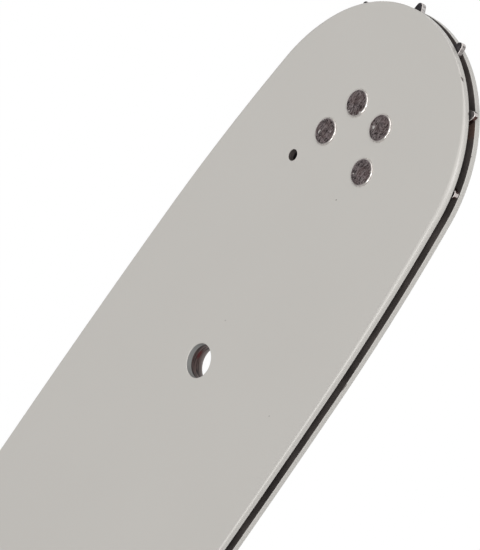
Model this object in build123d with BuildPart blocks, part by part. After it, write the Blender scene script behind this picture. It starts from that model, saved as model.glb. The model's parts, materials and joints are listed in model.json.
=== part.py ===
from build123d import *
import os
from math import acos, asin, atan2, cos, degrees, hypot, pi, radians, sin, sqrt, tan

# Guide bar of a chainsaw. Two side plates and a narrower core are welded into one blade, so that the
# chain runs in the groove left round its edge. At the nose a toothed sprocket turns on loose rollers,
# round a race that four rivets clamp between the plates.
# Millimetres and degrees. The bar lies flat: X runs from tail to nose, Y across the bar and Z up through
# the plates. The origin is on the back face, in the middle of the whole length.

# Blade
bar_length = 462.0  # tail end to nose tip
plate_t = 1.3
chain_gauge = 1.6  # thickness of the chain's drive links, which run in the groove
groove_play = 0.2  # the groove is wider than the drive links by this
groove_depth = 6.3
edge_break = 0.25  # corner taken off the outer edge of each side plate

# Outline, from the nose back along one edge: arcs that run into each other
nose_back = 1.9  # the nose arc is drawn from this far behind the sprocket's axis
nose_sweep = 82.0
shoulder_r = 405.0
shoulder_sweep = 5.7
rail_r = 2200.0
tail_bow = 3.0  # turn of the rail from the straight stretch back to the tail
entry_r = 80.0  # lead-in where the chain comes off the drive sprocket
entry_sweep = 20.0
corner_r = 14.0

# Nose sprocket
chain_pitch = 8.255
sprocket_teeth = 12
tip_below_pitch = 2.24  # tooth tips lie inside the circle of the chain's rivets
nose_below_pitch = 3.82  # so does the nose tip, by more, and the teeth stand out of it
tooth_tip_w = 1.1  # across a tip, before its corners are rounded
tip_round = 0.5
gullet_r = 3.2
sprocket_rim = 6.2  # metal between the bore and the gullet floors
sprocket_play = 0.32  # gap to the plate on each side
pocket_play = 1.0  # gap between the tooth tips and the core

# Roller bearing
race_wall = 1.15  # metal between the rivet shanks and the roller track
roller_d = 3.6
roller_play = 0.05  # gap from a roller to the race, and to the bore
roller_gap = 0.15  # least gap between neighbouring rollers

# Nose rivets: a pattern of equal places round the sprocket's axis, with the one towards the tail empty
rivet_places = 5
rivet_circle_r = 7.65
rivet_shank_r = 2.5
rivet_head_r = 2.7
rivet_sink_angle = 82.0  # countersink in each outer face, which the rivet's head fills
rivet_fit = 0.02  # gap between a rivet and its hole

# Holes near the nose
grease_r = 1.1
grease_past_bore = 0.5  # centre beyond the sprocket's bore, so the hole opens on the rollers
grease_angle = 133.7
hang_hole_r = 3.5
hang_hole_from_tip = 81.8

# Holes in the tail, where the bar is bolted to the saw
slot_length = 66.0
slot_w = 12.2
slot_from_tail = 16.0
adjuster_r = 4.0
adjuster_from_tail = 46.0
adjuster_from_axis = 17.5
oil_r = 2.0
oil_from_tail = 64.0

# Bearing and sprocket, from the rivets outwards and from the chain inwards
race_r = rivet_circle_r + rivet_shank_r + race_wall
bore_r = race_r + roller_d + 2 * roller_play
root_r = bore_r + sprocket_rim
tooth_angle = 360 / sprocket_teeth
pitch_r = chain_pitch / (2 * sin(radians(tooth_angle / 4)))
tip_r = pitch_r - tip_below_pitch
nose_edge = pitch_r - nose_below_pitch  # sprocket's axis to the nose tip
nose_r = nose_edge + nose_back
core_t = chain_gauge + groove_play  # the core sets the width of the groove
sprocket_t = core_t - 2 * sprocket_play
rivet_sink = (rivet_head_r - rivet_shank_r) / tan(radians(rivet_sink_angle / 2))

# A gullet is centred on +X: its floor is an arc, and its flanks run from that arc to the tooth tips
gullet_x = root_r + gullet_r
tip_angle = tooth_angle / 2 - degrees(asin(tooth_tip_w / 2 / tip_r))
tip_x = tip_r * cos(radians(tip_angle))
tip_y = tip_r * sin(radians(tip_angle))
tip_distance = hypot(tip_x - gullet_x, tip_y)
floor_angle = degrees(atan2(tip_y, tip_x - gullet_x) + acos(gullet_r / tip_distance))
floor_x = gullet_x + gullet_r * cos(radians(floor_angle))
floor_y = gullet_r * sin(radians(floor_angle))
mouth_x = tip_r + gullet_r
mouth_y = tip_y + (mouth_x - tip_x) * (tip_y - floor_y) / (tip_x - floor_x)

# One gullet of the sprocket, open at its mouth beyond the tooth tips
with BuildSketch() as gullet:
    with BuildLine():
        Line((mouth_x, 0), (mouth_x, mouth_y))
        flank = Line((mouth_x, mouth_y), (floor_x, floor_y))
        ThreePointArc(flank @ 1, (root_r, 0), (floor_x, -floor_y))
        Line((floor_x, -floor_y), (mouth_x, -mouth_y))
        Line((mouth_x, -mouth_y), (mouth_x, 0))
    make_face()

# The sprocket's profile about its own axis: round tips, with a gullet towards the nose tip
with BuildSketch() as sprocket_profile:
    Circle(tip_r)
    with PolarLocations(0, sprocket_teeth):
        add(gullet.sketch, mode=Mode.SUBTRACT)
    fillet(sprocket_profile.vertices().group_by(SortBy.DISTANCE)[-1], tip_round)
    Circle(bore_r, mode=Mode.SUBTRACT)

# Places along X: the tail is as far from the origin as the foremost tooth
tooth_reach = max(sprocket_profile.sketch.bounding_box().max.X - nose_edge, 0)
tail_x = -(bar_length + tooth_reach) / 2
nose_tip_x = tail_x + bar_length
sprocket_x = nose_tip_x - nose_edge
hang_hole_x = nose_tip_x - hang_hole_from_tip
slot_x = tail_x + slot_from_tail + slot_length / 2
adjuster_x = tail_x + adjuster_from_tail
oil_x = tail_x + oil_from_tail

# Outline: the widest half width, where it starts to narrow towards the tail, and the flat tail end
rail_sweep = 90 - nose_sweep - shoulder_sweep
shoulder_end = nose_sweep + shoulder_sweep
corner_sweep = 90 - tail_bow - entry_sweep
half_w = (
    nose_r * sin(radians(nose_sweep))
    + shoulder_r * (sin(radians(shoulder_end)) - sin(radians(nose_sweep)))
    + rail_r * (1 - sin(radians(shoulder_end)))
)
bow_x = (
    tail_x
    + corner_r * (1 - cos(radians(corner_sweep)))
    + entry_r * (cos(radians(corner_sweep)) - sin(radians(tail_bow)))
    + rail_r * sin(radians(tail_bow))
)
tail_half = (
    half_w
    - rail_r * (1 - cos(radians(tail_bow)))
    - entry_r * (cos(radians(tail_bow)) - sin(radians(corner_sweep)))
    - corner_r * sin(radians(corner_sweep))
)

# The oil holes straddle the edge of the core, so that oil runs into the groove
oil_y = half_w - rail_r + sqrt(rail_r**2 - (bow_x - oil_x) ** 2) - groove_depth

# Heights, up from the back face at Z = 0
core_z = plate_t
front_z = core_z + core_t
top_z = front_z + plate_t
sprocket_z = core_z + sprocket_play

# Places that more than one piece shares
sprocket_axis = (sprocket_x, 0)
rivet_angles = [360 / rivet_places * (place + 0.5) for place in range(rivet_places)]
rivet_spots = [
    (sprocket_x + rivet_circle_r * cos(radians(angle)), rivet_circle_r * sin(radians(angle)))
    for angle in rivet_angles
    if abs(angle - 180) > 1
]
grease_spot = (
    sprocket_x + (bore_r + grease_past_bore) * cos(radians(grease_angle)),
    (bore_r + grease_past_bore) * sin(radians(grease_angle)),
)
adjuster_spots = [(adjuster_x, adjuster_from_axis), (adjuster_x, -adjuster_from_axis)]
oil_spots = [(oil_x, oil_y), (oil_x, -oil_y)]

os.makedirs("parts", exist_ok=True)


def save(piece, name):
    piece.part.label = name
    export_step(piece.part, f"parts/{name}.step")


# Outline of the blade, drawn along one edge from the nose tip to the tail and mirrored
with BuildSketch() as blade_outline:
    with BuildLine():
        nose = JernArc((nose_tip_x, 0), (0, 1), nose_r, nose_sweep)
        shoulder = JernArc(nose @ 1, nose % 1, shoulder_r, shoulder_sweep)
        front_rail = JernArc(shoulder @ 1, shoulder % 1, rail_r, rail_sweep)
        straight = Line(front_rail @ 1, (bow_x, half_w))
        rear_rail = JernArc(straight @ 1, (-1, 0), rail_r, tail_bow)
        entry = JernArc(rear_rail @ 1, rear_rail % 1, entry_r, entry_sweep)
        corner = JernArc(entry @ 1, entry % 1, corner_r, corner_sweep)
        Line(corner @ 1, (tail_x, 0))
        mirror(about=Plane.XZ)
    make_face()

# Holes that go through both side plates and the core
with BuildSketch() as through_holes:
    with Locations((hang_hole_x, 0)):
        Circle(hang_hole_r)
    with Locations((slot_x, 0)):
        SlotOverall(slot_length, slot_w)
    with Locations(*adjuster_spots):
        Circle(adjuster_r)
    with Locations(*oil_spots):
        Circle(oil_r)

# Front side plate: its outer corner is broken, and its rivet holes are countersunk in the outer face
with BuildPart() as front_side_plate:
    with BuildSketch(Plane.XY.offset(front_z)):
        add(blade_outline.sketch)
    extrude(amount=plate_t)
    chamfer(front_side_plate.faces().sort_by(Axis.Z)[-1].edges(), edge_break)
    with BuildSketch(Plane.XY.offset(front_z)):
        add(through_holes.sketch)
        with Locations(grease_spot):
            Circle(grease_r)
    extrude(amount=plate_t, mode=Mode.SUBTRACT)
    with Locations(*[(x, y, top_z) for x, y in rivet_spots]):
        CounterSinkHole(
            rivet_shank_r + rivet_fit,
            rivet_head_r + rivet_fit,
            depth=plate_t,
            counter_sink_angle=rivet_sink_angle,
        )
save(front_side_plate, "front_side_plate")

# Back side plate: the same plate turned over
with BuildPart() as back_side_plate:
    add(front_side_plate.part)
    mirror(about=Plane.XY.offset(core_z + core_t / 2), mode=Mode.REPLACE)
save(back_side_plate, "back_side_plate")

# Core: drawn in by the groove and hollowed round the sprocket, and flush with the plates at the tail
with BuildPart() as core_plate:
    with BuildSketch(Plane.XY.offset(core_z)):
        add(blade_outline.sketch)
        offset(amount=-groove_depth, mode=Mode.REPLACE)
        with Locations((tail_x, 0)):
            Rectangle(2 * groove_depth, 2 * tail_half, align=(Align.MIN, Align.CENTER))
        with Locations(sprocket_axis):
            Circle(tip_r + pocket_play, mode=Mode.SUBTRACT)
        add(through_holes.sketch, mode=Mode.SUBTRACT)
    extrude(amount=core_t)
save(core_plate, "core_plate")

# Nose sprocket: thinner than the core, so it turns freely between the plates
with BuildPart() as nose_sprocket:
    with BuildSketch(Plane.XY.offset(sprocket_z)):
        with Locations(sprocket_axis):
            add(sprocket_profile.sketch)
    extrude(amount=sprocket_t)
save(nose_sprocket, "nose_sprocket")

# Bearing race: as thick as the core, so the plates clamp it
with BuildPart() as bearing_race:
    with BuildSketch(Plane.XY.offset(core_z)):
        with Locations(sprocket_axis):
            Circle(race_r)
        with Locations(*rivet_spots):
            Circle(rivet_shank_r + rivet_fit, mode=Mode.SUBTRACT)
    extrude(amount=core_t)
save(bearing_race, "bearing_race")

# Rollers: loose between the race and the sprocket's bore
roller_circle_r = race_r + roller_play + roller_d / 2
roller_count = int(2 * pi * roller_circle_r / (roller_d + roller_gap))
for number in range(1, roller_count + 1):
    angle = 2 * pi * number / roller_count
    with BuildPart() as bearing_roller:
        with BuildSketch(Plane.XY.offset(sprocket_z)):
            with Locations((sprocket_x + roller_circle_r * cos(angle), roller_circle_r * sin(angle))):
                Circle(roller_d / 2)
        extrude(amount=sprocket_t)
    save(bearing_roller, f"bearing_roller_{number:02d}")

# One rivet, turned about Z: each end is peened into its countersink and ground flush with the face
with BuildPart() as rivet:
    with BuildSketch(Plane.XZ):
        with BuildLine():
            Polyline(
                (0, 0),
                (rivet_head_r, 0),
                (rivet_shank_r, rivet_sink),
                (rivet_shank_r, top_z - rivet_sink),
                (rivet_head_r, top_z),
                (0, top_z),
                close=True,
            )
        make_face()
    revolve(axis=Axis.Z)

with BuildPart() as nose_rivets:
    with Locations(*rivet_spots):
        add(rivet.part)
save(nose_rivets, "nose_rivets")
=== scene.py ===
import json
from math import acos, asin, atan2, cos, radians, sin, tan, tau

import bmesh
import bpy
from mathutils import Matrix, Vector


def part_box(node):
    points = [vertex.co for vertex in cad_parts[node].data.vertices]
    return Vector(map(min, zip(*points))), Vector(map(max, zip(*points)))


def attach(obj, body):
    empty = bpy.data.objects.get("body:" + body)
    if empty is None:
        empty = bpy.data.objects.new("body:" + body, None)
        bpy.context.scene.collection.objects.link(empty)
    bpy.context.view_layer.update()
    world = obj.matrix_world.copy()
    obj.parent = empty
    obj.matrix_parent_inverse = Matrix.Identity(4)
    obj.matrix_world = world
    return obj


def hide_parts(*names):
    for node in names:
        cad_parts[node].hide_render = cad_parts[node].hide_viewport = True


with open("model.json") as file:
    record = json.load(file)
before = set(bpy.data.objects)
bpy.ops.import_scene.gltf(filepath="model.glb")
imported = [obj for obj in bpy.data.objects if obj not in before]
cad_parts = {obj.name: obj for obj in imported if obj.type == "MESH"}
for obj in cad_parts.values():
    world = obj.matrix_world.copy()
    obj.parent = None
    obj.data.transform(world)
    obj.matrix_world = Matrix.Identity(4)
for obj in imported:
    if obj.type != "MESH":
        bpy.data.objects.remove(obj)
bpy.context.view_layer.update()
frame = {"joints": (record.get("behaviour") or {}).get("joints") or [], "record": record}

# Looks of a chainsaw guide bar: two grey painted side plates over a dark core, and at the nose a steel
# sprocket whose teeth stand out of the chain groove. The bar lies on its back face: X runs from tail to
# nose, Y across the bar and Z up through the plates. Everything is in metres.
MM = 0.001

# Places that the frame gives
plate_low, plate_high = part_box("front_side_plate")
TAIL_X, NOSE_TIP_X, HALF_W = plate_low.x, plate_high.x, plate_high.y
FRONT_Z, TOP_Z = plate_low.z, plate_high.z
BACK_Z, CORE_Z = (corner.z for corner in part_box("back_side_plate"))
SPROCKET_LOW, SPROCKET_HIGH = (corner.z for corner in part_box("nose_sprocket"))
SPROCKET_X = next(j["pos_m"][0] for j in frame["joints"] if j["name"] == "sprocket_spin")
MOUNTS = {mount["name"]: mount for mount in frame["record"]["mounts"]}

# Outline: arcs that run into each other from the nose tip to the tail, with their turns
GROOVE_DEPTH = 6.3 * MM
NOSE_SET_BACK = 1.9 * MM  # how far the nose arc's centre lies behind the sprocket's axis
NOSE_R = NOSE_TIP_X - SPROCKET_X + NOSE_SET_BACK
NOSE_SWEEP = radians(82)
SHOULDER_R = 405 * MM
SHOULDER_SWEEP = radians(5.7)
RAIL_R = 2200 * MM
RAIL_SWEEP = radians(90) - NOSE_SWEEP - SHOULDER_SWEEP
TAIL_BOW = radians(3)
ENTRY_R = 80 * MM
ENTRY_SWEEP = radians(20)
TAIL_CORNER_R = 14 * MM
TAIL_CORNER_SWEEP = radians(90) - TAIL_BOW - ENTRY_SWEEP
# The same arcs with the steps to draw each in, before and after the straight middle of the rail
NOSE_ARCS = ((NOSE_R, NOSE_SWEEP, 72), (SHOULDER_R, SHOULDER_SWEEP, 14), (RAIL_R, RAIL_SWEEP, 8))
TAIL_ARCS = ((RAIL_R, TAIL_BOW, 10), (ENTRY_R, ENTRY_SWEEP, 14), (TAIL_CORNER_R, TAIL_CORNER_SWEEP, 28))

# Sprocket and bearing
TEETH = 12
TIP_R = 29.382 * MM
ROOT_R = 21.2 * MM
GULLET_R = 3.2 * MM
BORE_R = 15 * MM
TIP_LAND = 1.1 * MM
TIP_ROUND = 0.5 * MM  # how far the rounding of a tooth tip reaches from its corner
TOOTH_EDGE = 0.15 * MM
RUBBED_TIP = 0.05 * MM  # how deep the chain rubs a tooth tip bright
POCKET_PLAY = 1 * MM
RACE_R = 11.3 * MM
RACE_EDGE = 0.1 * MM
ROLLER_R = 1.8 * MM
ROLLER_CIRCLE_R = 13.15 * MM
ROLLERS = 22
ROLLER_EDGE = 0.2 * MM

# Rivets: four of five equal places round the sprocket's axis
RIVET_PLACES = 5
RIVET_CIRCLE_R = 7.65 * MM
RIVET_SHANK_R = 2.5 * MM
RIVET_HEAD_R = 2.7 * MM
RIVET_SINK_SLOPE = tan(radians(82) / 2)
RIVET_SINK = (RIVET_HEAD_R - RIVET_SHANK_R) / RIVET_SINK_SLOPE
RIVET_FIT = 0.02 * MM
RIVET_HOLE_R = RIVET_SHANK_R + RIVET_FIT
RIVET_SPREAD_R = 2.8 * MM  # the peened front head spreads a little over its countersink
RIVET_SPREAD_RISE = 0.02 * MM  # within this height over the front face
RIVET_PROUD = 0.3 * MM  # and stands this high over it
RIVET_RIM = 0.28 * MM
RIVET_CROWN = (0.03 * MM, 0.015 * MM)  # how far the crown rises at each of its rings

# Holes
GREASE_R = 1.1 * MM
GREASE_CIRCLE_R = BORE_R + 0.5 * MM
GREASE_ANGLE = radians(133.7)
OIL_R = 2 * MM
OIL_X = TAIL_X + 64 * MM
SLOT_W = 12.2 * MM

# Roundings of the painted plates: the outer corner at the nose tip, at the shoulders of the nose, where
# the front one is dressed rounder, and along the rails, then the groove's lip
FRONT_ROUNDS = (0.12 * MM, 1.05 * MM, 0.45 * MM, 0.1 * MM)
BACK_ROUNDS = (0.12 * MM, 0.16 * MM, 0.16 * MM, 0.2 * MM)
SHOULDER_X = NOSE_TIP_X - 16 * MM
SHOULDER_END_X = NOSE_TIP_X - 65 * MM
RIM_ROUND = 0.15 * MM
BARE_LIP = 0.3  # share of the back lip's rounding, next to the groove, that is left bare steel
OVERSPRAY = 0.1 * MM  # how far paint reaches into the groove beyond the lip

# Modelling
NEAR = 0.01 * MM  # places closer than this count as the same
MERGE_REACH = 0.002 * MM
WALL_ROOM = 0.1 * MM  # a face this close to a hole is on its wall
CUT_PAST = 1 * MM  # how far a cutter reaches past what it cuts
SMOOTH_ANGLE = radians(32)

# Camera, from the photograph: it looks at a point on the front face behind the nose tip
AIM = Vector((NOSE_TIP_X - 63.277 * MM, 4.167 * MM, TOP_Z))
VIEW_AZIMUTH = radians(24.148)
VIEW_ELEVATION = radians(41.106)
VIEW_ROLL = radians(71.716)
VIEW_DISTANCE = 448.31 * MM
LENS_MM = 149.48

# Soft lamps: the direction to each from the bar, its energy and how broad it looks
LAMPS = {
    "window_over_the_rail": (Vector((-0.25, -0.68, 0.69)), 1.15, radians(30)),
    "broad_lamp_at_the_nose": (Vector((0.95, -0.1, 0.3)), 1.6, radians(72)),
}
# Strip lamps off the shoulder of the nose: the place, height, width and power in watts of each
STRIPS = {
    "high_strip_at_the_shoulder": (Vector((1.33, -1.45, 1.84)), 1.2, 0.9, 14),
    "low_strip_at_the_shoulder": (Vector((1.25, -2.12, 0.95)), 1.3, 0.26, 11),
}
SURROUNDING = 0.402  # strength of the white light from all round

# Floor: wide, with low walls far off, and just clear of the bar
FLOOR_SIZE = 30
FLOOR_WALL_H = 3
FLOOR_DROP = 0.02 * MM
FLOOR_GLOW = 1.05
FLOOR_GLOW_SHARE = 0.93  # the rest is matt and takes the bar's shadow

# A brown oil stain on the wheel, over two of the teeth beside the nose tip and fading over the next
# Where it darkens the flanks of those teeth, the stain is partly painted reflection.
STAIN_AND_REFLECTION_SPOT = Vector((SPROCKET_X + 14.7 * MM, -25.4 * MM, (SPROCKET_LOW + SPROCKET_HIGH) / 2))
STAIN_AND_REFLECTION_REACH = (12 * MM, 12 * MM, 12 * MM)
# A brown smear in the groove beside those teeth, with its half sizes
SMEAR_SPOT = Vector((NOSE_TIP_X - 10.3 * MM, -21.1 * MM, CORE_Z))
SMEAR_REACH = (1.9 * MM, 1.9 * MM, 0.8 * MM)


def turned(angle):
    """Unit vector in the plane of the bar, at an angle from +X."""
    return Vector((cos(angle), sin(angle), 0))


SPROCKET_AXIS = Vector((SPROCKET_X, 0, 0))
RIVET_SPOTS = [
    SPROCKET_AXIS + RIVET_CIRCLE_R * turned(tau * (place + 0.5) / RIVET_PLACES)
    for place in range(RIVET_PLACES)
    if place != RIVET_PLACES // 2
]
BOW_X = (
    TAIL_X
    + TAIL_CORNER_R * (1 - cos(TAIL_CORNER_SWEEP))
    + ENTRY_R * (cos(TAIL_CORNER_SWEEP) - sin(TAIL_BOW))
    + RAIL_R * sin(TAIL_BOW)
)
OIL_Y = HALF_W - RAIL_R * (1 - cos(asin((BOW_X - OIL_X) / RAIL_R))) - GROOVE_DEPTH
SLOT_X = MOUNTS["stud_slot"]["pos_m"][0]
SLOT_REACH = MOUNTS["stud_slot"]["dims"]["slot_length_mm"] * MM / 2 - SLOT_W / 2

# Round holes through all three plates, as (place, radius)
THROUGH_HOLES = [
    (Vector((*MOUNTS[name]["pos_m"][:2], 0)), MOUNTS[name]["dims"]["r_mm"] * MM)
    for name in ("hang_hole", "adjuster_hole_left", "adjuster_hole_right")
] + [(Vector((OIL_X, side * OIL_Y, 0)), OIL_R) for side in (1, -1)]
GREASE_HOLE = (SPROCKET_AXIS + GREASE_CIRCLE_R * turned(GREASE_ANGLE), GREASE_R)
RIVET_HOLES = [(spot, RIVET_HOLE_R) for spot in RIVET_SPOTS]

# A red rust spot on the wall of the hang hole, with its half sizes
HANG_SPOT, HANG_R = THROUGH_HOLES[0]
RUST_SPOT = HANG_SPOT + Vector((-0.375 * MM, HANG_R, CORE_Z + 0.5 * MM))
RUST_REACH = (1.1 * MM, 1.8 * MM, 0.5 * MM)

# Marks in the paint: place, with X from the nose tip; half length, half width and half depth; heading
MARKS = [
    ((-3.9 * MM, -14.9 * MM, TOP_Z - 0.3 * MM), (2.6 * MM, 0.11 * MM, 0.4 * MM), radians(-107)),  # scratch
    ((-7.8 * MM, -19.8 * MM, FRONT_Z), (0.4 * MM, 0.4 * MM, 0.4 * MM), 0),  # nick in the near lip
    ((-13.4 * MM, -24.9 * MM, CORE_Z), (0.22 * MM, 0.22 * MM, 0.22 * MM), 0),  # nick in the far lip
    ((-61.7 * MM, -32.7 * MM, CORE_Z), (1.2 * MM, 0.35 * MM, 0.3 * MM), radians(3.5)),  # dent in the far lip
    ((-37.7 * MM, -5.8 * MM, TOP_Z), (0.17 * MM, 0.14 * MM, MM), 0),  # specks on the face
    ((-71.8 * MM, 0.25 * MM, TOP_Z), (0.14 * MM, 0.14 * MM, MM), 0),
    ((-76.4 * MM, -24.4 * MM, TOP_Z), (0.14 * MM, 0.14 * MM, MM), 0),
]


# Modelling helpers


def put_down():
    """Leaves edit mode and deselects every piece."""
    if bpy.context.object:
        bpy.ops.object.mode_set(mode="OBJECT")
    bpy.ops.object.select_all(action="DESELECT")


def take_up(*pieces):
    """Selects these pieces alone, with the first of them active."""
    put_down()
    for piece in pieces:
        piece.select_set(True)
    bpy.context.view_layer.objects.active = pieces[0]


def start_point(name, place):
    """A mesh of one vertex, left in edit mode and ready to be drawn out into an outline."""
    put_down()
    bpy.ops.mesh.primitive_plane_add(size=MM)
    piece = bpy.context.object
    piece.name = name
    bpy.ops.object.mode_set(mode="EDIT")
    bpy.ops.mesh.select_mode(type="VERT")
    bpy.ops.mesh.select_all(action="SELECT")
    bpy.ops.mesh.merge(type="CENTER")
    bpy.ops.transform.translate(value=place)
    return piece


def draw_to(place, here):
    """Draws a straight edge from the selected vertex, which is here, to a place."""
    bpy.ops.mesh.extrude_vertices_move(TRANSFORM_OT_translate={"value": place - here})


def draw_arc(centre, angle, steps):
    """Draws an arc from the selected vertex. A positive angle turns it to the left."""
    bpy.ops.mesh.spin(steps=steps, angle=-angle, center=centre, axis=(0, 0, 1))


def fill_and_raise(thickness):
    """Fills the closed outline and draws the face up, or down, into a plate."""
    bpy.ops.mesh.select_all(action="SELECT")
    bpy.ops.mesh.remove_doubles(threshold=MERGE_REACH)
    bpy.ops.mesh.edge_face_add()
    bpy.ops.mesh.extrude_region_move(TRANSFORM_OT_translate={"value": (0, 0, thickness)})
    bpy.ops.mesh.select_all(action="SELECT")
    bpy.ops.mesh.normals_make_consistent(inside=False)


def pick(piece, kind, test):
    """Selects, in edit mode, the faces, edges or vertices that pass a test."""
    bpy.ops.object.mode_set(mode="EDIT")
    bpy.ops.mesh.select_mode(type=kind)
    bpy.ops.mesh.select_all(action="DESELECT")
    mesh = bmesh.from_edit_mesh(piece.data)
    for element in {"VERT": mesh.verts, "EDGE": mesh.edges, "FACE": mesh.faces}[kind]:
        if test(element):
            element.select_set(True)
    mesh.select_flush_mode()
    bmesh.update_edit_mesh(piece.data)


def level(points, height):
    """True where all the points lie at that height."""
    return all(abs(point.z - height) < NEAR for point in points)


def at_height(element, height):
    """True for an edge or face that lies at that height."""
    return level([vertex.co for vertex in element.verts], height)


def at_ends(edge, low, high):
    """True for an edge that lies at one of two heights."""
    return at_height(edge, low) or at_height(edge, high)


def round_edges(piece, test, offset, segments):
    """Rounds over the edges that pass a test."""
    pick(piece, "EDGE", test)
    bpy.ops.mesh.bevel(offset=offset, segments=segments, profile=0.5, affect="EDGES")


def apply_modifier(piece, kind, **settings):
    """Gives a piece a modifier and applies it."""
    take_up(piece)
    modifier = piece.modifiers.new(kind.lower(), kind)
    for name, value in settings.items():
        setattr(modifier, name, value)
    bpy.ops.object.modifier_apply(modifier=modifier.name)


def bar_stock(spot, low_r, high_r, low, high, sides=96):
    """A cylinder, or a cone where the radii differ, from low to high."""
    put_down()
    bpy.ops.mesh.primitive_cone_add(
        vertices=sides,
        radius1=low_r,
        radius2=high_r,
        depth=high - low,
        location=(spot.x, spot.y, (low + high) / 2),
    )
    bpy.ops.object.transform_apply(location=True)
    return bpy.context.object


def stud_slot_cutter(low, high):
    """A cutter for the stud slot: a cylinder whose halves are drawn apart along the bar."""
    cutter = bar_stock(Vector((SLOT_X, 0, 0)), SLOT_W / 2, SLOT_W / 2, low, high)
    for side in (1, -1):
        pick(cutter, "VERT", lambda vertex: side * (vertex.co.x - SLOT_X) > NEAR)
        bpy.ops.transform.translate(value=(side * SLOT_REACH, 0, 0))
    bpy.ops.object.mode_set(mode="OBJECT")
    return cutter


def cut(piece, cutters):
    """Takes all the cutters out of a piece at once."""
    take_up(*cutters)
    if len(cutters) > 1:
        bpy.ops.object.join()
    apply_modifier(piece, "BOOLEAN", operation="DIFFERENCE", solver="EXACT", object=cutters[0])
    bpy.data.objects.remove(cutters[0])


def use_materials(piece, *materials):
    """Gives a piece its materials, the first of them all over."""
    for material in materials:
        piece.data.materials.append(material)


def coat(piece, material):
    """Puts one of the piece's materials on the selected faces."""
    piece.active_material_index = piece.data.materials.find(material.name)
    bpy.ops.object.material_slot_assign()


def dress(piece, material, test):
    """Puts one of the piece's materials on the faces that pass a test."""
    pick(piece, "FACE", test)
    coat(piece, material)


def finish_piece(piece, body, slot, *nodes):
    """Shades a piece, attaches it to its body and hides the nodes that it stands for; its slot is not used.
    """
    take_up(piece)
    bpy.ops.object.shade_smooth_by_angle(angle=SMOOTH_ANGLE)
    apply_modifier(piece, "WEIGHTED_NORMAL", weight=100, keep_sharp=True)
    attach(piece, body)
    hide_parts(*nodes)


# Materials

MIX_A, MIX_B = 6, 7  # the sockets of a Mix node's two colours


def linear(hex_colour):
    """An sRGB hex colour as linear RGBA."""
    shares = [int(hex_colour[i : i + 2], 16) / 255 for i in (0, 2, 4)]
    return [s / 12.92 if s <= 0.04045 else ((s + 0.055) / 1.055) ** 2.4 for s in shares] + [1]


def wire(material, node, inputs):
    """Links outputs to a node's inputs, or sets them to values. Text is a hex colour."""
    for socket, value in dict(inputs).items():
        if isinstance(value, bpy.types.NodeSocket):
            material.node_tree.links.new(value, node.inputs[socket])
        else:
            node.inputs[socket].default_value = linear(value) if isinstance(value, str) else value


def add(material, kind, inputs=(), **settings):
    """Adds a node with its settings, fills or links its inputs, and gives its first output in use."""
    node = material.node_tree.nodes.new(kind)
    for name, value in settings.items():
        setattr(node, name, value)
    wire(material, node, inputs)
    return next((output for output in node.outputs if output.enabled), None)


def new_material(name):
    """An empty material, its surface shader and the place on the piece."""
    material = bpy.data.materials.new(name)
    material.use_nodes = True
    place = add(material, "ShaderNodeTexCoord").node.outputs["Object"]
    return material, material.node_tree.nodes["Principled BSDF"], place


def away_from(material, place, spot, reach, heading=0):
    """How far a place lies from a spot, as a share of the spot's half sizes."""
    turn = {"Location": spot, "Rotation": (0, 0, heading), "Scale": reach}
    local = add(material, "ShaderNodeMapping", {"Vector": place, **turn}, vector_type="TEXTURE")
    return add(material, "ShaderNodeVectorMath", {0: local}, operation="LENGTH").node.outputs["Value"]


def stretched_noise(material, place, grain, inputs, heading=0):
    """Noise drawn out along a surface: the size of its grain along each axis, turned to a heading."""
    stretch = {"Rotation": (0, 0, heading), "Scale": [1 / size for size in grain]}
    local = add(material, "ShaderNodeMapping", {"Vector": place, **stretch})
    return add(material, "ShaderNodeTexNoise", {"Vector": local, "Scale": 1, **inputs})


def grey_powder_coat():
    """Satin powder coat over steel: an even warm grey with faint orange peel and a few dark nicks."""
    material, shader, place = new_material("grey_powder_coat")
    drift = add(material, "ShaderNodeTexNoise", {"Vector": place, "Scale": 1 / (35 * MM), "Detail": 2})
    paint = add(
        material, "ShaderNodeMix", {"Factor": drift, MIX_A: "BEBBB6", MIX_B: "C2BFBA"}, data_type="RGBA"
    )
    # Nicks and specks: small ellipsoids with ragged rims, where the dark steel shows
    ragged = add(material, "ShaderNodeTexNoise", {"Vector": place, "Scale": 1 / (0.4 * MM), "Detail": 2})
    marked = 0.0
    for (x, y, z), reach, heading in MARKS:
        away = away_from(material, place, (NOSE_TIP_X + x, y, z), reach, heading)
        away = add(material, "ShaderNodeMath", {0: away, 1: ragged}, operation="ADD")
        mark = add(material, "ShaderNodeMapRange", {"Value": away, "From Min": 1.5, "From Max": 1.1})
        marked = add(material, "ShaderNodeMath", {0: mark, 1: marked}, operation="MAXIMUM")
    colour = add(
        material, "ShaderNodeMix", {"Factor": marked, MIX_A: paint, MIX_B: "5C5450"}, data_type="RGBA"
    )
    # Orange peel of about 0.9 mm
    peel = add(material, "ShaderNodeTexNoise", {"Vector": place, "Scale": 1 / (0.9 * MM), "Detail": 1})
    rough = add(material, "ShaderNodeMapRange", {"Value": peel, "To Min": 0.27, "To Max": 0.37})
    bump = add(material, "ShaderNodeBump", {"Height": peel, "Strength": 0.09, "Distance": 0.02 * MM})
    wire(material, shader, {"Base Color": colour, "Roughness": rough, "Normal": bump, "IOR": 1.55})
    return material


def hole_paint_with_painted_shade():
    """Paint on the front plate's through-hole walls: dull, streaked by bare steel, darkened as painted
    shade.
    """
    material, shader, place = new_material("hole_paint_with_painted_shade")
    streaks = stretched_noise(material, place, (3 * MM, 3 * MM, 0.4 * MM), {"Detail": 3})
    # Both greys are darker than the face paint: painted shade inside the hole.
    colour = add(
        material, "ShaderNodeMix", {"Factor": streaks, MIX_A: "6C6E70", MIX_B: "94938F"}, data_type="RGBA"
    )
    wire(material, shader, {"Base Color": colour, "Roughness": 0.45, "IOR": 1.55})
    return material


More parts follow.
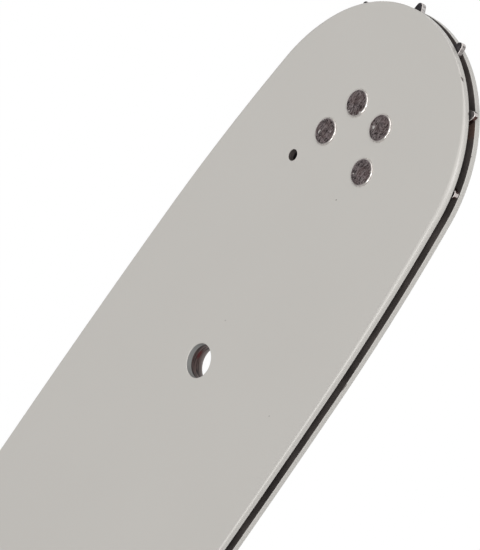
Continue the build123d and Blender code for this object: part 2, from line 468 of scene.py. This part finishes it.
def groove_steel():
    """Bare steel inside the groove: dark grey with old oil, streaked along the rails by the chain."""
    material, shader, place = new_material("groove_steel")
    streaks = stretched_noise(material, place, (5 * MM, 5 * MM, 0.35 * MM), {"Detail": 4})
    streaks = add(material, "ShaderNodeMapRange", {"Value": streaks, "From Min": 0.35, "From Max": 0.7})
    colour = add(
        material, "ShaderNodeMix", {"Factor": streaks, MIX_A: "4A4543", MIX_B: "6E6764"}, data_type="RGBA"
    )
    away = away_from(material, place, SMEAR_SPOT, SMEAR_REACH)
    away = add(material, "ShaderNodeMath", {0: away, 1: streaks}, operation="ADD")
    smear = add(material, "ShaderNodeMapRange", {"Value": away, "From Min": 1.6, "From Max": 0.8})
    colour = add(
        material, "ShaderNodeMix", {"Factor": smear, MIX_A: colour, MIX_B: "68534B"}, data_type="RGBA"
    )
    rough = add(material, "ShaderNodeMapRange", {"Value": streaks, "To Min": 0.55, "To Max": 0.4})
    bump = add(material, "ShaderNodeBump", {"Height": streaks, "Strength": 0.3, "Distance": 0.02 * MM})
    wire(material, shader, {"Base Color": colour, "Metallic": 0.5, "Roughness": rough, "Normal": bump})
    return material


def drilled_hole_steel():
    """Walls of the drilled holes: red-brown with old, dark oil, ringed by the drill, with a spot of rust."""
    material, shader, place = new_material("drilled_hole_steel")
    near_black_brown = "1A100F"
    rings = stretched_noise(
        material, place, (3 * MM, 3 * MM, 0.3 * MM), {"Detail": 3, "Distortion": 0.6}
    )
    rings = add(material, "ShaderNodeMapRange", {"Value": rings, "From Min": 0.42, "From Max": 0.6})
    colour = add(
        material, "ShaderNodeMix", {"Factor": rings, MIX_A: near_black_brown, MIX_B: "5E4A47"}, data_type="RGBA"
    )
    away = away_from(material, place, RUST_SPOT, RUST_REACH)
    rust = add(material, "ShaderNodeMapRange", {"Value": away, "From Min": 1.2, "From Max": 0.5})
    colour = add(
        material, "ShaderNodeMix", {"Factor": rust, MIX_A: colour, MIX_B: "4A1010"}, data_type="RGBA"
    )
    # Darkest just under the painted plate, and greyer towards the lower rim
    height = add(material, "ShaderNodeSeparateXYZ", {"Vector": place}).node.outputs["Z"]
    darker_under_plate = add(
        material,
        "ShaderNodeMapRange",
        {"Value": height, "From Min": FRONT_Z - 0.9 * MM, "From Max": FRONT_Z - 0.2 * MM, "To Max": 0.5},
    )
    colour = add(
        material, "ShaderNodeMix", {"Factor": darker_under_plate, MIX_A: colour, MIX_B: near_black_brown}, data_type="RGBA"
    )
    greyer_at_lower_rim = add(
        material,
        "ShaderNodeMapRange",
        {"Value": height, "From Min": BACK_Z + 1.1 * MM, "From Max": BACK_Z, "To Max": 0.85},
    )
    colour = add(
        material, "ShaderNodeMix", {"Factor": greyer_at_lower_rim, MIX_A: colour, MIX_B: "A09894"}, data_type="RGBA"
    )
    rough = add(material, "ShaderNodeMapRange", {"Value": rings, "To Min": 0.5, "To Max": 0.35})
    bump = add(material, "ShaderNodeBump", {"Height": rings, "Strength": 0.4, "Distance": 0.03 * MM})
    wire(material, shader, {"Base Color": colour, "Metallic": 0.5, "Roughness": rough, "Normal": bump})
    return material


def peened_rivet_steel():
    """Hammered rivet faces: dark brownish steel, finely mottled, with scratches and bright flecks."""
    material, shader, place = new_material("peened_rivet_steel")
    grain = add(
        material,
        "ShaderNodeTexNoise",
        {"Vector": place, "Scale": 1 / (0.5 * MM), "Detail": 5, "Distortion": 1.5},
    )
    grain = add(material, "ShaderNodeMapRange", {"Value": grain, "From Min": 0.38, "From Max": 0.64})
    colour = add(
        material, "ShaderNodeMix", {"Factor": grain, MIX_A: "1E1618", MIX_B: "A69899"}, data_type="RGBA"
    )
    stain = add(material, "ShaderNodeTexNoise", {"Vector": place, "Scale": 1 / (2.2 * MM), "Detail": 2})
    stain = add(
        material, "ShaderNodeMapRange", {"Value": stain, "From Min": 0.45, "From Max": 0.62, "To Max": 0.35}
    )
    colour = add(
        material, "ShaderNodeMix", {"Factor": stain, MIX_A: colour, MIX_B: "7A625E"}, data_type="RGBA"
    )
    # Scratches 0.2 mm wide and about 1.6 mm long, coarser than the real ones so that they show
    scratch_grain = (1.6 * MM, 0.2 * MM, 1.6 * MM)
    scratches = stretched_noise(
        material, place, scratch_grain, {"Detail": 1, "Distortion": 0.5}, heading=radians(35)
    )
    scratches = add(
        material,
        "ShaderNodeMapRange",
        {"Value": scratches, "From Min": 0.55, "From Max": 0.7, "To Max": 0.8},
    )
    colour = add(
        material, "ShaderNodeMix", {"Factor": scratches, MIX_A: colour, MIX_B: "B8ACAA"}, data_type="RGBA"
    )
    flecks = add(material, "ShaderNodeTexNoise", {"Vector": place, "Scale": 1 / (0.9 * MM), "Detail": 2})
    flecks = add(material, "ShaderNodeMapRange", {"Value": flecks, "From Min": 0.67, "From Max": 0.72})
    colour = add(
        material, "ShaderNodeMix", {"Factor": flecks, MIX_A: colour, MIX_B: "F0EAE6"}, data_type="RGBA"
    )
    bump = add(material, "ShaderNodeBump", {"Height": grain, "Strength": 0.5, "Distance": 0.04 * MM})
    wire(material, shader, {"Base Color": colour, "Metallic": 0.9, "Roughness": 0.36, "Normal": bump})
    return material


def burnished_rim_steel():
    """Rims of the rivet heads, rubbed bright by the peening tool in uneven patches."""
    material, shader, place = new_material("burnished_rim_steel")
    patches = add(material, "ShaderNodeTexNoise", {"Vector": place, "Scale": 1 / (0.8 * MM), "Detail": 2})
    patches = add(material, "ShaderNodeMapRange", {"Value": patches, "From Min": 0.35, "From Max": 0.6})
    colour = add(
        material, "ShaderNodeMix", {"Factor": patches, MIX_A: "C4BEBA", MIX_B: "E8E2DE"}, data_type="RGBA"
    )
    rough = add(material, "ShaderNodeMapRange", {"Value": patches, "To Min": 0.42, "To Max": 0.26})
    wire(material, shader, {"Base Color": colour, "Metallic": 1, "Roughness": rough})
    return material


def stain_and_painted_reflection(material, place):
    """How much of the brown stain, partly painted reflection on the flanks, lies over a place, from 0 to 1.
    """
    away = away_from(material, place, STAIN_AND_REFLECTION_SPOT, STAIN_AND_REFLECTION_REACH)
    return add(material, "ShaderNodeMapRange", {"Value": away, "From Min": 2.1, "From Max": 0.9})


def hardened_sprocket_steel():
    """Side faces of the hardened wheel: nearly black, scuffed by the plates, and greyer under the stain."""
    material, shader, place = new_material("hardened_sprocket_steel")
    scuffs = add(
        material,
        "ShaderNodeTexNoise",
        {"Vector": place, "Scale": 1 / (0.7 * MM), "Detail": 4, "Distortion": 1},
    )
    scuffs = add(material, "ShaderNodeMapRange", {"Value": scuffs, "From Min": 0.4, "From Max": 0.7})
    dark = add(
        material, "ShaderNodeMix", {"Factor": scuffs, MIX_A: "3A383B", MIX_B: "605C60"}, data_type="RGBA"
    )
    stain_and_reflection = stain_and_painted_reflection(material, place)
    colour = add(
        material, "ShaderNodeMix", {"Factor": stain_and_reflection, MIX_A: dark, MIX_B: "706A6A"}, data_type="RGBA"
    )
    rough = add(material, "ShaderNodeMapRange", {"Value": scuffs, "To Min": 0.4, "To Max": 0.55})
    wire(material, shader, {"Base Color": colour, "Metallic": 0.85, "Roughness": rough})
    return material


def flank_steel_stain_and_reflection():
    """Flanks and tips of the teeth: streaked grey steel, and dark red-brown under the stain, partly as
    painted reflection.
    """
    material, shader, place = new_material("flank_steel_stain_and_reflection")
    streaks = stretched_noise(material, place, (0.35 * MM, 0.35 * MM, 2 * MM), {"Detail": 2})
    streaks = add(material, "ShaderNodeMapRange", {"Value": streaks, "From Min": 0.35, "From Max": 0.65})
    clean = add(
        material, "ShaderNodeMix", {"Factor": streaks, MIX_A: "6A6664", MIX_B: "CECAC8"}, data_type="RGBA"
    )
    brown = add(
        material, "ShaderNodeMix", {"Factor": streaks, MIX_A: "1E1010", MIX_B: "553833"}, data_type="RGBA"
    )
    # The flanks' dark red-brown under the stain is partly painted reflection.
    stain_and_reflection = stain_and_painted_reflection(material, place)
    colour = add(material, "ShaderNodeMix", {"Factor": stain_and_reflection, MIX_A: clean, MIX_B: brown}, data_type="RGBA")
    wire(material, shader, {"Base Color": colour, "Metallic": 0.9, "Roughness": 0.3})
    return material


def rubbed_tooth_steel():
    """Edges of the teeth rubbed bright by the chain, with faint grey patches."""
    material, shader, place = new_material("rubbed_tooth_steel")
    patches = add(material, "ShaderNodeTexNoise", {"Vector": place, "Scale": 1 / (0.6 * MM), "Detail": 2})
    colour = add(
        material, "ShaderNodeMix", {"Factor": patches, MIX_A: "A8A09E", MIX_B: "DAD4D0"}, data_type="RGBA"
    )
    rough = add(material, "ShaderNodeMapRange", {"Value": patches, "To Min": 0.32, "To Max": 0.2})
    wire(material, shader, {"Base Color": colour, "Metallic": 1, "Roughness": rough})
    return material


def greased_bearing_steel():
    """Ground race and rollers under a film of dark grease that thins in patches."""
    material, shader, place = new_material("greased_bearing_steel")
    film = add(material, "ShaderNodeTexNoise", {"Vector": place, "Scale": 1 / (2 * MM), "Detail": 3})
    film = add(material, "ShaderNodeMapRange", {"Value": film, "From Min": 0.4, "From Max": 0.65})
    colour = add(
        material, "ShaderNodeMix", {"Factor": film, MIX_A: "8C8A88", MIX_B: "4A4238"}, data_type="RGBA"
    )
    rough = add(material, "ShaderNodeMapRange", {"Value": film, "To Min": 0.2, "To Max": 0.32})
    wire(material, shader, {"Base Color": colour, "Metallic": 0.9, "Roughness": rough})
    return material


# Blade


def draw_arcs(arcs, centre, heading):
    """Draws arcs that run into each other, the first round a centre, and gives the last one's centre."""
    radius = arcs[0][0]
    for next_radius, sweep, steps in arcs:
        centre = centre + (radius - next_radius) * turned(heading)
        radius = next_radius
        draw_arc(centre, sweep, steps)
        heading += sweep
    return centre


def draw_blade(name, inset, height, flush_tail=False):
    """The bar's edge, drawn in by an inset: one side from the nose tip to the tail, then mirrored."""
    piece = start_point(name, Vector((NOSE_TIP_X - inset, 0, height)))
    centre = draw_arcs(NOSE_ARCS, Vector((NOSE_TIP_X - NOSE_R, 0, height)), 0)
    rail_y = HALF_W - inset
    draw_to(Vector((BOW_X, rail_y, height)), Vector((centre.x, rail_y, height)))
    centre = draw_arcs(TAIL_ARCS, Vector((BOW_X, HALF_W - RAIL_R, height)), radians(90))
    here = Vector((TAIL_X + inset, centre.y, height))
    if flush_tail:
        corner = Vector((TAIL_X, centre.y, height))
        draw_to(corner, here)
        here = corner
    draw_to(Vector((here.x, 0, height)), here)
    bpy.ops.mesh.select_all(action="SELECT")
    bpy.ops.mesh.duplicate()
    bpy.ops.transform.resize(value=(1, -1, 1), center_override=(0, 0, 0))
    return piece


def round_blade(piece, inner, outer, rounds):
    """Rounds a plate's outer corner, by its own amount at the shoulders of the nose, and its lip."""
    nose_round, shoulder_round, rail_round, lip_round = rounds
    widest = max(rounds)
    put_down()
    shares = piece.data.attributes.new("bevel_weight_edge", "FLOAT", "EDGE")
    for edge, share in zip(piece.data.edges, shares.data):
        ends = [piece.data.vertices[index].co for index in edge.vertices]
        x = (ends[0].x + ends[1].x) / 2
        end_x, end_round = (NOSE_TIP_X, nose_round) if x > SHOULDER_X else (SHOULDER_END_X, rail_round)
        dressed = max((x - end_x) / (SHOULDER_X - end_x), 0)
        if level(ends, outer):
            share.value = (end_round + dressed * (shoulder_round - end_round)) / widest
        elif level(ends, inner):
            share.value = lip_round / widest
    apply_modifier(piece, "BEVEL", width=widest, segments=6, limit_method="WEIGHT")


def in_hole(point, holes, room):
    """True for a point in one of the holes, or within that room of one."""
    flat = Vector((point.x, point.y, 0))
    return any((flat - spot).length < radius + room for spot, radius in holes)


def in_slot(point, room):
    """True for a point in the stud slot, or within that room of it."""
    nearest = Vector((max(SLOT_X - SLOT_REACH, min(SLOT_X + SLOT_REACH, point.x)), 0, 0))
    return in_hole(point, [(nearest, SLOT_W / 2)], room)


def on_large_wall(face):
    """True for an upright face in a round through hole or in the stud slot."""
    place = face.calc_center_median()
    upright = abs(face.normal.z) < 0.1
    return upright and (in_hole(place, THROUGH_HOLES, WALL_ROOM) or in_slot(place, WALL_ROOM))


def drill_plate(piece, inner, outer):
    """Drills the holes and the stud slot of a side plate, and sinks its rivet holes from outside."""
    low, high = min(inner, outer) - CUT_PAST, max(inner, outer) + CUT_PAST
    holes = [*THROUGH_HOLES, GREASE_HOLE, *RIVET_HOLES]
    cutters = [bar_stock(spot, radius, radius, low, high) for spot, radius in holes]
    cut(piece, [*cutters, stud_slot_cutter(low, high)])
    out = 1 if outer > inner else -1
    sink_ends = sorted((outer - out * 2 * RIVET_SINK, outer + out * CUT_PAST))
    sink_radii = [RIVET_HOLE_R + ((z - outer) * out + RIVET_SINK) * RIVET_SINK_SLOPE for z in sink_ends]
    cut(piece, [bar_stock(spot, *sink_radii, *sink_ends) for spot in RIVET_SPOTS])


def side_plate(name, inner, outer, rounds, paint, bare, hole_wall, bare_lip=False):
    """A side plate from its inner face to its outer one: painted outside, bare inside and in its holes."""
    piece = draw_blade(name, 0, inner)
    fill_and_raise(outer - inner)
    round_blade(piece, inner, outer, rounds)
    use_materials(piece, paint, bare, hole_wall)
    pick(piece, "FACE", lambda face: at_height(face, inner) and len(face.verts) > 4)
    bpy.ops.mesh.inset(thickness=OVERSPRAY)
    coat(piece, bare)
    drill_plate(piece, inner, outer)

    def on_rim(edge):
        holes = [*THROUGH_HOLES, GREASE_HOLE]
        return at_height(edge, outer) and all(
            in_hole(end.co, holes, NEAR) or in_slot(end.co, NEAR) for end in edge.verts
        )

    def in_small_hole(face):
        sink = RIVET_HEAD_R - RIVET_SHANK_R
        holes = [GREASE_HOLE, *RIVET_HOLES]
        return abs(face.normal.z) < 0.9 and in_hole(face.calc_center_median(), holes, sink + WALL_ROOM)

    def on_bare_lip_band(face):
        return bare_lip and all(abs(vertex.co.z - inner) < BARE_LIP * rounds[-1] for vertex in face.verts)

    round_edges(piece, on_rim, RIM_ROUND, segments=4)
    dress(piece, bare, lambda face: in_small_hole(face) or on_bare_lip_band(face))
    dress(piece, hole_wall, on_large_wall)
    return piece


def core(name, bare, hole_wall):
    """The core, drawn in by the groove's depth, hollowed round the sprocket and flush at the tail."""
    piece = draw_blade(name, GROOVE_DEPTH, CORE_Z, flush_tail=True)
    fill_and_raise(FRONT_Z - CORE_Z)
    low, high = CORE_Z - CUT_PAST, FRONT_Z + CUT_PAST
    cutters = [bar_stock(spot, radius, radius, low, high) for spot, radius in THROUGH_HOLES]
    pocket_r = TIP_R + POCKET_PLAY
    cutters.append(bar_stock(SPROCKET_AXIS, pocket_r, pocket_r, low, high, sides=192))
    cut(piece, [*cutters, stud_slot_cutter(low, high)])
    use_materials(piece, bare, hole_wall)
    dress(piece, hole_wall, on_large_wall)
    return piece


# Nose


def draw_teeth(name):
    """The wheel's outline, drawn gullet by gullet. A gullet faces the nose tip."""
    gullet = Vector((ROOT_R + GULLET_R, 0, 0))
    tip = TIP_R * turned(tau / TEETH / 2 - asin(TIP_LAND / 2 / TIP_R))
    to_tip = tip - gullet
    floor_angle = atan2(to_tip.y, to_tip.x) + acos(GULLET_R / to_tip.length)
    floor_end = gullet + GULLET_R * turned(floor_angle)
    floor_start = Vector((floor_end.x, -floor_end.y, 0))
    next_tip = Vector((tip.x, -tip.y, 0))
    axis = SPROCKET_AXIS + Vector((0, 0, SPROCKET_LOW))
    piece = start_point(name, axis + floor_start)
    for tooth in range(TEETH):
        turn = Matrix.Rotation(tau * tooth / TEETH, 3, "Z")
        next_turn = Matrix.Rotation(tau * (tooth + 1) / TEETH, 3, "Z")
        draw_arc(axis + turn @ gullet, 2 * floor_angle - tau, steps=14)
        draw_to(turn @ tip, turn @ floor_end)
        draw_to(next_turn @ next_tip, turn @ tip)
        draw_to(next_turn @ floor_start, next_turn @ next_tip)
    return piece


def from_axis(point):
    """How far a point lies from the sprocket's axis."""
    return Vector((point.x - SPROCKET_X, point.y)).length


def sprocket(name, dark, rubbed, flank_stain_and_reflection):
    """The toothed wheel with its bore, its tooth tips rounded and its edges rubbed bright."""
    piece = draw_teeth(name)
    fill_and_raise(SPROCKET_HIGH - SPROCKET_LOW)

    def on_tip_corner(edge):
        upright = abs(edge.verts[0].co.z - edge.verts[1].co.z) > NEAR
        return upright and from_axis(edge.verts[0].co) > TIP_R - NEAR

    def on_side(edge):
        turn = edge.link_faces[0].normal.z - edge.link_faces[1].normal.z
        return at_ends(edge, SPROCKET_LOW, SPROCKET_HIGH) and abs(turn) > 0.5

    def is_rubbed(face):
        on_edge = 0.2 < abs(face.normal.z) < 0.95
        return on_edge or from_axis(face.calc_center_median()) > TIP_R - RUBBED_TIP

    round_edges(piece, on_tip_corner, TIP_ROUND, segments=6)
    low, high = SPROCKET_LOW - CUT_PAST, SPROCKET_HIGH + CUT_PAST
    cut(piece, [bar_stock(SPROCKET_AXIS, BORE_R, BORE_R, low, high, sides=160)])
    round_edges(piece, on_side, TOOTH_EDGE, segments=3)
    use_materials(piece, dark, rubbed, flank_stain_and_reflection)
    dress(piece, flank_stain_and_reflection, lambda face: abs(face.normal.z) < 0.2)
    dress(piece, rubbed, is_rubbed)
    return piece


def rivet(name, spot, peened, rim):
    """A rivet with flared ends. Its front head is peened over, with a round rim and a low crown."""
    low, high = BACK_Z + RIVET_SINK, TOP_Z - RIVET_SINK
    spread, head = TOP_Z + RIVET_SPREAD_RISE, TOP_Z + RIVET_PROUD
    piece = bar_stock(spot, RIVET_SHANK_R, RIVET_SHANK_R, low, high, sides=64)
    piece.name = name
    # Each step takes the end face at one height to another height, and from one radius to another
    steps = [
        (low, BACK_Z, RIVET_SHANK_R, RIVET_HEAD_R),
        (high, TOP_Z, RIVET_SHANK_R, RIVET_HEAD_R),
        (TOP_Z, spread, RIVET_HEAD_R, RIVET_SPREAD_R),
        (spread, head, RIVET_SPREAD_R, RIVET_SPREAD_R),
    ]
    for start, end, start_r, end_r in steps:
        pick(piece, "FACE", lambda face: at_height(face, start))
        bpy.ops.mesh.extrude_region_move(TRANSFORM_OT_translate={"value": (0, 0, end - start)})
        share = end_r / start_r
        bpy.ops.transform.resize(value=(share, share, 1), center_override=(spot.x, spot.y, end))
    round_edges(piece, lambda edge: at_height(edge, head), RIVET_RIM, segments=5)
    pick(piece, "FACE", lambda face: at_height(face, head) and len(face.verts) > 4)
    for rise in RIVET_CROWN:
        bpy.ops.mesh.inset(thickness=RIVET_SPREAD_R / (len(RIVET_CROWN) + 1), depth=rise)
    use_materials(piece, peened, rim)
    dress(piece, rim, lambda face: face.normal.z < 0.995 and face.calc_center_median().z > TOP_Z)
    return piece


def race(name, steel):
    """The fixed inner ring of the bearing, drilled for the rivets, with broken edges."""
    piece = bar_stock(SPROCKET_AXIS, RACE_R, RACE_R, CORE_Z, FRONT_Z, sides=128)
    piece.name = name
    low, high = CORE_Z - CUT_PAST, FRONT_Z + CUT_PAST
    cut(piece, [bar_stock(spot, radius, radius, low, high, sides=64) for spot, radius in RIVET_HOLES])
    round_edges(piece, lambda edge: at_ends(edge, CORE_Z, FRONT_Z), RACE_EDGE, segments=3)
    use_materials(piece, steel)
    return piece


def first_roller(name, steel):
    """A short roller with rounded ends, on the X axis of the bearing."""
    spot = SPROCKET_AXIS + Vector((ROLLER_CIRCLE_R, 0, 0))
    piece = bar_stock(spot, ROLLER_R, ROLLER_R, SPROCKET_LOW, SPROCKET_HIGH, sides=40)
    piece.name = name
    round_edges(piece, lambda edge: at_ends(edge, SPROCKET_LOW, SPROCKET_HIGH), ROLLER_EDGE, segments=4)
    use_materials(piece, steel)
    return piece


def copy_turned(piece, name, angle):
    """A copy of a piece with its own mesh, turned about the sprocket's axis."""
    take_up(piece)
    bpy.ops.object.duplicate()
    twin = bpy.context.object
    twin.name = name
    bpy.ops.object.mode_set(mode="EDIT")
    bpy.ops.mesh.select_all(action="SELECT")
    bpy.ops.transform.rotate(value=-angle, orient_axis="Z", center_override=SPROCKET_AXIS)
    return twin


# Stage


def white_floor():
    """Matt floor that looks white to the camera and in reflections, and still takes the bar's shadow."""
    material = bpy.data.materials.new("white_floor")
    material.use_nodes = True
    material.node_tree.nodes.clear()
    rays = add(material, "ShaderNodeLightPath").node.outputs
    seen = rays["Is Camera Ray"]
    for kind in ("Is Glossy Ray", "Is Transmission Ray"):
        seen = add(material, "ShaderNodeMath", {0: seen, 1: rays[kind]}, operation="MAXIMUM")
    share = add(material, "ShaderNodeMath", {0: seen, 1: FLOOR_GLOW_SHARE}, operation="MULTIPLY")
    matt = add(material, "ShaderNodeBsdfDiffuse", {"Color": "A0A0A0"})
    white = add(material, "ShaderNodeEmission", {"Color": "FFFFFF", "Strength": FLOOR_GLOW})
    mixed = add(material, "ShaderNodeMixShader", {0: share, 1: matt, 2: white})
    add(material, "ShaderNodeOutputMaterial", {"Surface": mixed})
    return material


def stage_floor():
    """A wide white floor with low white walls far off."""
    put_down()
    bpy.ops.mesh.primitive_plane_add(size=FLOOR_SIZE, location=(0, 0, -FLOOR_DROP))
    floor = bpy.context.object
    floor.name = "floor"
    bpy.ops.object.transform_apply(location=True)
    pick(floor, "EDGE", lambda edge: True)
    bpy.ops.mesh.extrude_edges_move(TRANSFORM_OT_translate={"value": (0, 0, FLOOR_WALL_H)})
    bpy.ops.object.mode_set(mode="OBJECT")
    use_materials(floor, white_floor())


def pale_surrounding():
    """Even white light from all round."""
    world = bpy.data.worlds.new("pale_studio")
    bpy.context.scene.world = world
    world.use_nodes = True
    sky = world.node_tree.nodes["Background"]
    sky.inputs["Color"].default_value = linear("FFFFFF")
    sky.inputs["Strength"].default_value = SURROUNDING


def lamp_from(name, kind, direction):
    """A lamp of some kind that shines from a direction."""
    lamp = bpy.data.objects.new(name, bpy.data.lights.new(name, kind))
    bpy.context.scene.collection.objects.link(lamp)
    lamp.rotation_mode = "QUATERNION"
    lamp.rotation_quaternion = direction.to_track_quat("Z", "Y")
    return lamp


def soft_lamps():
    """Broad lamps from the near side and the nose, and the strips that light the shoulder of the nose."""
    for name, (direction, energy, breadth) in LAMPS.items():
        light = lamp_from(name, "SUN", direction).data
        light.energy = energy
        light.angle = breadth
    for name, (place, height, width, power) in STRIPS.items():
        strip = lamp_from(name, "AREA", place - SPROCKET_AXIS)
        strip.location = place
        strip.visible_camera = False
        strip.data.shape = "RECTANGLE"
        strip.data.size = width
        strip.data.size_y = height
        strip.data.energy = power


def camera():
    """The camera at the photograph's angle, rolled so that the nose points up and to the right."""
    data = bpy.data.cameras.new("camera")
    data.lens = LENS_MM
    viewer = bpy.data.objects.new("camera", data)
    bpy.context.scene.collection.objects.link(viewer)
    back = Vector(
        (
            sin(VIEW_AZIMUTH) * cos(VIEW_ELEVATION),
            -cos(VIEW_AZIMUTH) * cos(VIEW_ELEVATION),
            sin(VIEW_ELEVATION),
        )
    )
    sideways = turned(VIEW_AZIMUTH)
    upright = back.cross(sideways)
    up = upright * cos(VIEW_ROLL) + sideways * sin(VIEW_ROLL)
    right = up.cross(back)
    turn = Matrix((right, up, back)).transposed()
    viewer.matrix_world = Matrix.Translation(AIM + VIEW_DISTANCE * back) @ turn.to_4x4()
    bpy.context.scene.camera = viewer


paint = grey_powder_coat()
wall_paint_with_painted_shade = hole_paint_with_painted_shade()
grooved = groove_steel()
drilled = drilled_hole_steel()
peened = peened_rivet_steel()
burnished = burnished_rim_steel()
hardened = hardened_sprocket_steel()
rubbed = rubbed_tooth_steel()
flank_stain_and_reflection = flank_steel_stain_and_reflection()
greased = greased_bearing_steel()

front = side_plate("painted_front_plate", FRONT_Z, TOP_Z, FRONT_ROUNDS, paint, grooved, wall_paint_with_painted_shade)
finish_piece(front, "bar", "side_plate_paint", "front_side_plate")
back = side_plate(
    "painted_back_plate", CORE_Z, BACK_Z, BACK_ROUNDS, paint, grooved, drilled, bare_lip=True
)
finish_piece(back, "bar", "side_plate_paint", "back_side_plate")
middle_plate = core("groove_core", grooved, drilled)
finish_piece(middle_plate, "bar", "core_steel", "core_plate")
wheel = sprocket("toothed_nose_wheel", hardened, rubbed, flank_stain_and_reflection)
finish_piece(wheel, "sprocket", "sprocket_steel", "nose_sprocket")
for number, spot in enumerate(RIVET_SPOTS, start=1):
    head = rivet(f"peened_rivet_{number}", spot, peened, burnished)
    finish_piece(head, "bar", "rivet_steel", "nose_rivets")
inner_ring = race("nose_race", greased)
finish_piece(inner_ring, "bar", "bearing_steel", "bearing_race")
pattern = first_roller("nose_roller_pattern", greased)
for number in range(1, ROLLERS + 1):
    roller = copy_turned(pattern, f"nose_roller_{number:02d}", tau * number / ROLLERS)
    finish_piece(roller, "roller_ring", "bearing_steel", f"bearing_roller_{number:02d}")
bpy.data.objects.remove(pattern)

stage_floor()
pale_surrounding()
soft_lamps()
camera()
bpy.context.scene.view_settings.view_transform = "Standard"
